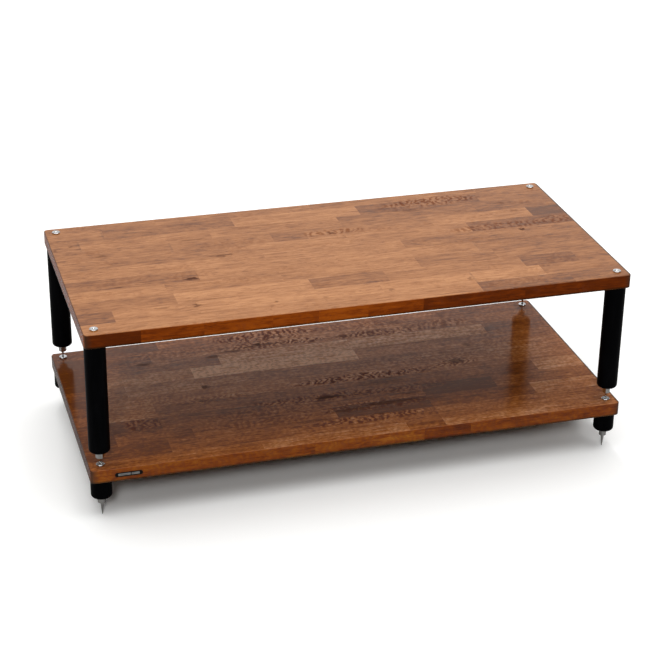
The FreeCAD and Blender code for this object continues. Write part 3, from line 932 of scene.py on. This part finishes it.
# Each lamp: the way to it, its width in degrees as seen from the floor, and the share of a white
# surface's brightness that it gives where the surface faces it.
LAMPS = {
    "key": ((0.336, -0.364, 1.0), 14.0, 0.03),
    "ceiling": ((0.0, -0.06, 1.0), 70.0, 0.66),
    "back": ((0.05, 0.726, 1.0), 4.0, 0.09),
    "front_low": ((-0.234, -0.800, 0.552), 10.0, 0.11),
    "front_high": ((-0.221, -0.756, 0.616), 14.0, 0.18),
}

# The camera, solved from the photograph's edges for an image of 665 x 665 pixels.
IMAGE_WIDTH_PX = 665
FOCAL_LENGTH_PX = 1837.69
SENSOR_WIDTH_MM = 36.0
CAMERA_PLACE = (-0.88305, -2.99460, 1.73183)
CAMERA_YAW = 0.28818
CAMERA_PITCH = 0.45699
CAMERA_ROLL = 0.01502
CAMERA_REACH = 100.0


def floor():
    """A plain pale floor, white to the camera where nothing shades it."""
    mesh = bpy.data.meshes.new("floor")
    a = FLOOR_HALF_WIDTH
    mesh.from_pydata([(-a, -a, 0), (a, -a, 0), (a, a, 0), (-a, a, 0)], [], [(0, 1, 2, 3)])
    plane = placed("floor", mesh)
    material, nodes = blank_material("floor")
    path = nodes.add("ShaderNodeLightPath").outputs
    colour = nodes.mix(path["Is Glossy Ray"], FLOOR_ALBEDO, FLOOR_REFLECTED)
    colour = nodes.mix(path["Is Camera Ray"], colour, FLOOR_SEEN)
    diffuse = nodes.add("ShaderNodeBsdfDiffuse", {"Color": colour})
    nodes.add("ShaderNodeOutputMaterial", {"Surface": diffuse.outputs[0]})
    mesh.materials.append(material)


def levels(nodes, height, stops):
    """How white the studio is at each height, a sine, from stops in degrees."""
    return nodes.colours(height, [
        (math.sin(math.radians(angle)), (white, white, white)) for angle, white in stops
    ])


def world():
    """A white backdrop in a dimmer room, which the camera sees as plain white."""
    sky = bpy.data.worlds.new("studio")
    sky.use_nodes = True
    bpy.context.scene.world = sky
    nodes = Nodes(sky.node_tree)
    path = nodes.add("ShaderNodeLightPath").outputs
    way = nodes.add("ShaderNodeTexCoord").outputs["Generated"]
    x, y, height = nodes.separate(way)
    level = nodes.math("SUBTRACT", 1.0, nodes.math("MULTIPLY", height, height))
    level = nodes.math("SQRT", nodes.math("MAXIMUM", level, LEAST_SQUARE))
    way_x, way_y = BACKDROP_WAY
    toward = nodes.math("MULTIPLY_ADD", x, way_x, nodes.math("MULTIPLY", y, way_y))
    toward = nodes.math("DIVIDE", toward, level)
    sideways = nodes.math("MULTIPLY_ADD", x, way_y, nodes.math("MULTIPLY", y, -way_x))
    tilted = nodes.math("MULTIPLY_ADD", sideways, BACKDROP_TILT, height)
    shown = nodes.mix(
        nodes.ramp(toward, *BACKDROP_SIDES),
        levels(nodes, height, ROOM),
        levels(nodes, tilted, BACKDROP),
    )
    lit = nodes.ramp(height, *SKY_START, 0.0, SKY_LEVEL)
    lit = nodes.math("MULTIPLY", lit, nodes.ramp(toward, *SKY_FADE))
    shiny = nodes.math("MAXIMUM", path["Is Glossy Ray"], path["Is Transmission Ray"])
    strength = nodes.mix(shiny, nodes.combine(lit, lit, lit), shown)
    strength = nodes.math("MAXIMUM", strength, path["Is Camera Ray"])
    background = nodes.add("ShaderNodeBackground", {
        "Color": (1.0, 1.0, 1.0), "Strength": strength,
    })
    nodes.add("ShaderNodeOutputWorld", {"Surface": background.outputs[0]})


def lamp(name, direction, width, share):
    """A far soft lamp, so that its light is even over the floor."""
    sun = bpy.data.lights.new(name, "SUN")
    sun.angle = math.radians(width)
    sun.energy = share * math.pi
    holder = placed(name, sun)
    holder.rotation_euler = Vector(direction).to_track_quat("Z", "Y").to_euler()


def camera():
    """The camera at the photograph's place and angle."""
    yaw, pitch, roll = CAMERA_YAW, CAMERA_PITCH, CAMERA_ROLL
    ahead = Vector((
        math.sin(yaw) * math.cos(pitch), math.cos(yaw) * math.cos(pitch), -math.sin(pitch),
    ))
    level = Vector((math.cos(yaw), -math.sin(yaw), 0.0))
    upright = level.cross(ahead)
    right = level * math.cos(roll) + upright * math.sin(roll)
    above = upright * math.cos(roll) - level * math.sin(roll)
    data = bpy.data.cameras.new("camera")
    data.sensor_width = SENSOR_WIDTH_MM
    data.lens = FOCAL_LENGTH_PX / IMAGE_WIDTH_PX * SENSOR_WIDTH_MM
    data.clip_end = CAMERA_REACH
    eye = placed("camera", data)
    turn = Matrix((right, above, -ahead)).transposed().to_4x4()
    eye.matrix_world = Matrix.Translation(CAMERA_PLACE) @ turn
    bpy.context.scene.camera = eye


dress_all()
floor()
world()
for lamp_name, facts in LAMPS.items():
    lamp(lamp_name, *facts)
camera()
bpy.context.scene.view_settings.view_transform = "Standard"
